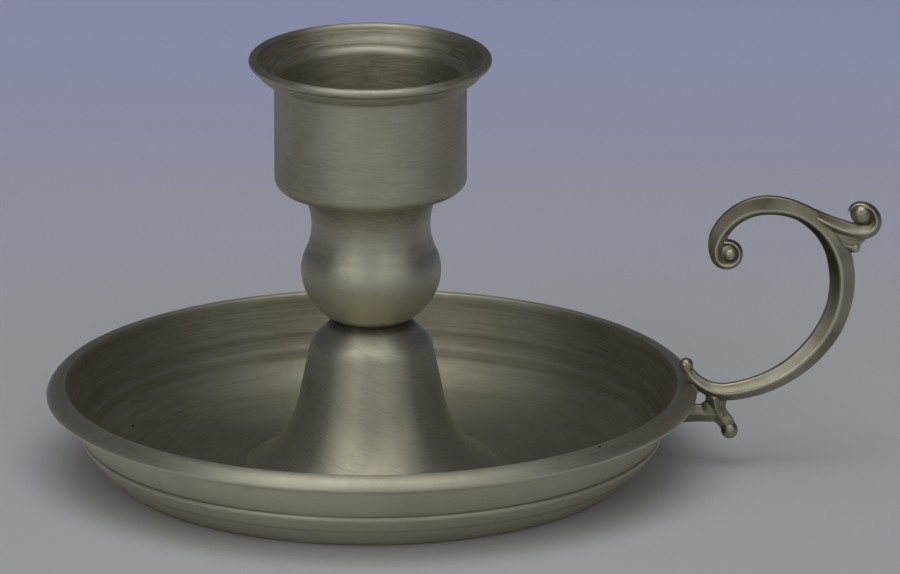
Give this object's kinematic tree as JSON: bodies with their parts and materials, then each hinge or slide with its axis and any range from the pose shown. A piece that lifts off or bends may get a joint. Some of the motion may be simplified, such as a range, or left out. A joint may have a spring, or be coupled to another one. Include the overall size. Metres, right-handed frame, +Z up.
{
  "type": "chamberstick",
  "caption": "Pewter chamberstick: a candle cup with a flared mouth on a knop and a bell column, in a stepped drip dish with a cast scroll handle and thumb spur.",
  "frame": {"origin": "centre of the flat underside of the dish", "axes": "+Z up along the column, +X from the column towards the scroll handle, +Y to complete a right-handed frame"},
  "size_m": [0.1795, 0.14, 0.0923],
  "materials": {
    "pewter": "satin",
    "cast_pewter": "polished",
    "solder": "satin"
  },
  "bodies": {
    "root": {"dish": "pewter", "bell_column": "pewter", "knop": "pewter", "candle_cup": "pewter", "scroll_handle": "cast_pewter", "column_solder": "solder", "knop_solder": "solder", "cup_solder": "solder", "lip_solder": "solder", "bracket_solder": "solder"}
  },
  "joints": []
}
